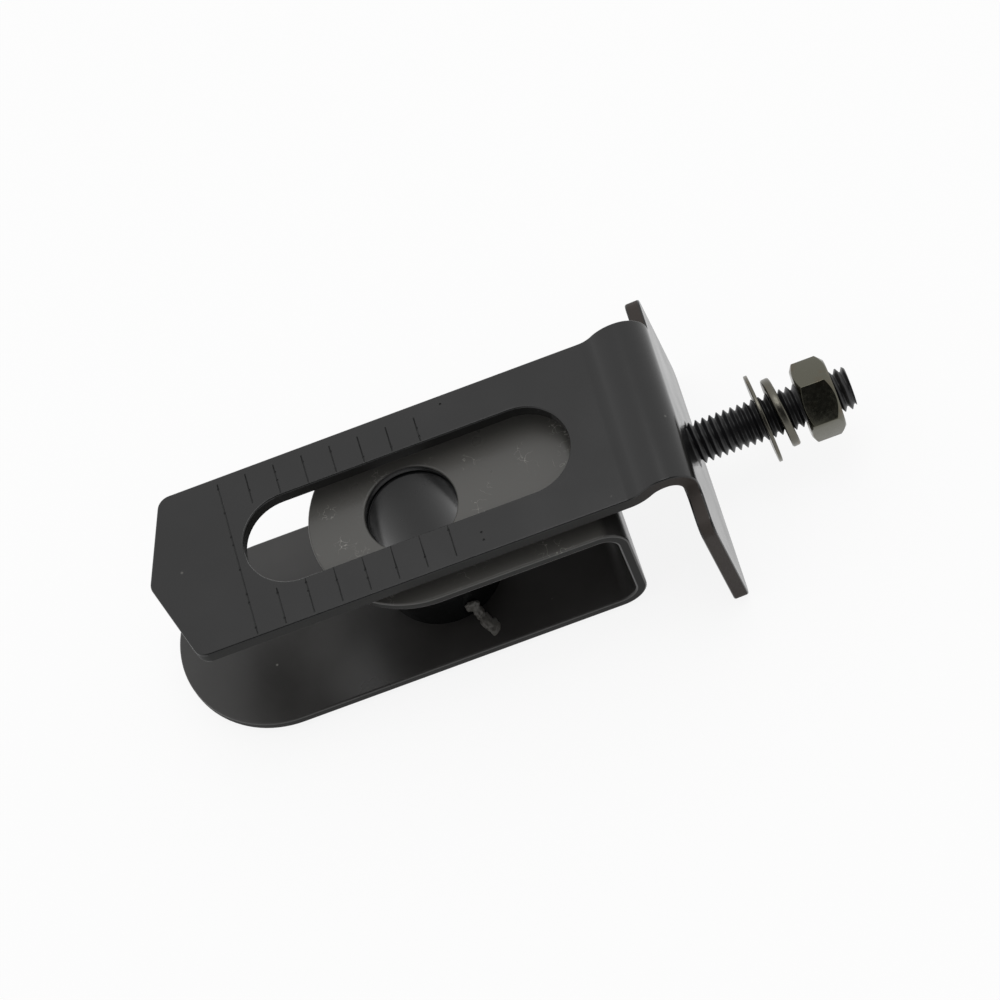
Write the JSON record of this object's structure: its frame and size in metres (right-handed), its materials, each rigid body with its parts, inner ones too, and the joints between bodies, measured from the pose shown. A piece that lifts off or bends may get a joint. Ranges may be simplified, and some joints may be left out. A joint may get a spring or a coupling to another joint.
{
  "type": "motorcycle chain adjuster",
  "caption": "Folded index plate with an axle slot over a U-shaped puller with an axle sleeve, and a threaded bolt with nut and washers that draws the puller along the plate.",
  "frame": {"origin": "centre of the axle sleeve between the puller's two leaves, on the axis of the bolt", "axes": "+X along the bolt towards its threaded tip, +Z along the axle sleeve and out through the index plate"},
  "size_m": [0.0999, 0.038, 0.0275],
  "materials": {
    "black_plate": "satin black coat",
    "black_puller": "satin black coat",
    "black_thread": "black coat",
    "zinc_washer": "dark olive zinc plate",
    "zinc_nut": "dark olive zinc plate"
  },
  "bodies": {
    "puller": {"axle_puller": "black_puller", "axle_sleeve": "black_puller", "adjuster_bolt": "black_thread"},
    "plate": {"index_plate": "black_plate"},
    "flat_washer": {"flat_washer": "zinc_washer"},
    "spring_washer": {"spring_washer": "zinc_washer"},
    "nut": {"hex_nut": "zinc_nut"}
  },
  "joints": [
    {"name": "plate_slide", "type": "slide", "parent": "puller", "child": "plate", "axis": [1, 0, 0], "range_m": [-0.0093, 0.0002]},
    {"name": "flat_washer_slide", "type": "slide", "parent": "puller", "child": "flat_washer", "axis": [1, 0, 0], "range_m": [-0.00901, 0.00201]},
    {"name": "nut_travel", "type": "slide", "parent": "puller", "child": "spring_washer", "axis": [1, 0, 0], "range_m": [-0.009, 0.002]},
    {"name": "nut_turn", "type": "hinge", "parent": "spring_washer", "child": "nut", "pos_m": [0.0562, 0, 0], "axis": [1, 0, 0], "range_deg": [-3241, 721]}
  ],
  "couplings": [
    {"joint": "flat_washer_slide", "follows": "nut_travel", "ratio": 1},
    {"joint": "nut_turn", "follows": "nut_travel", "rad_per_m": 6283.2}
  ]
}
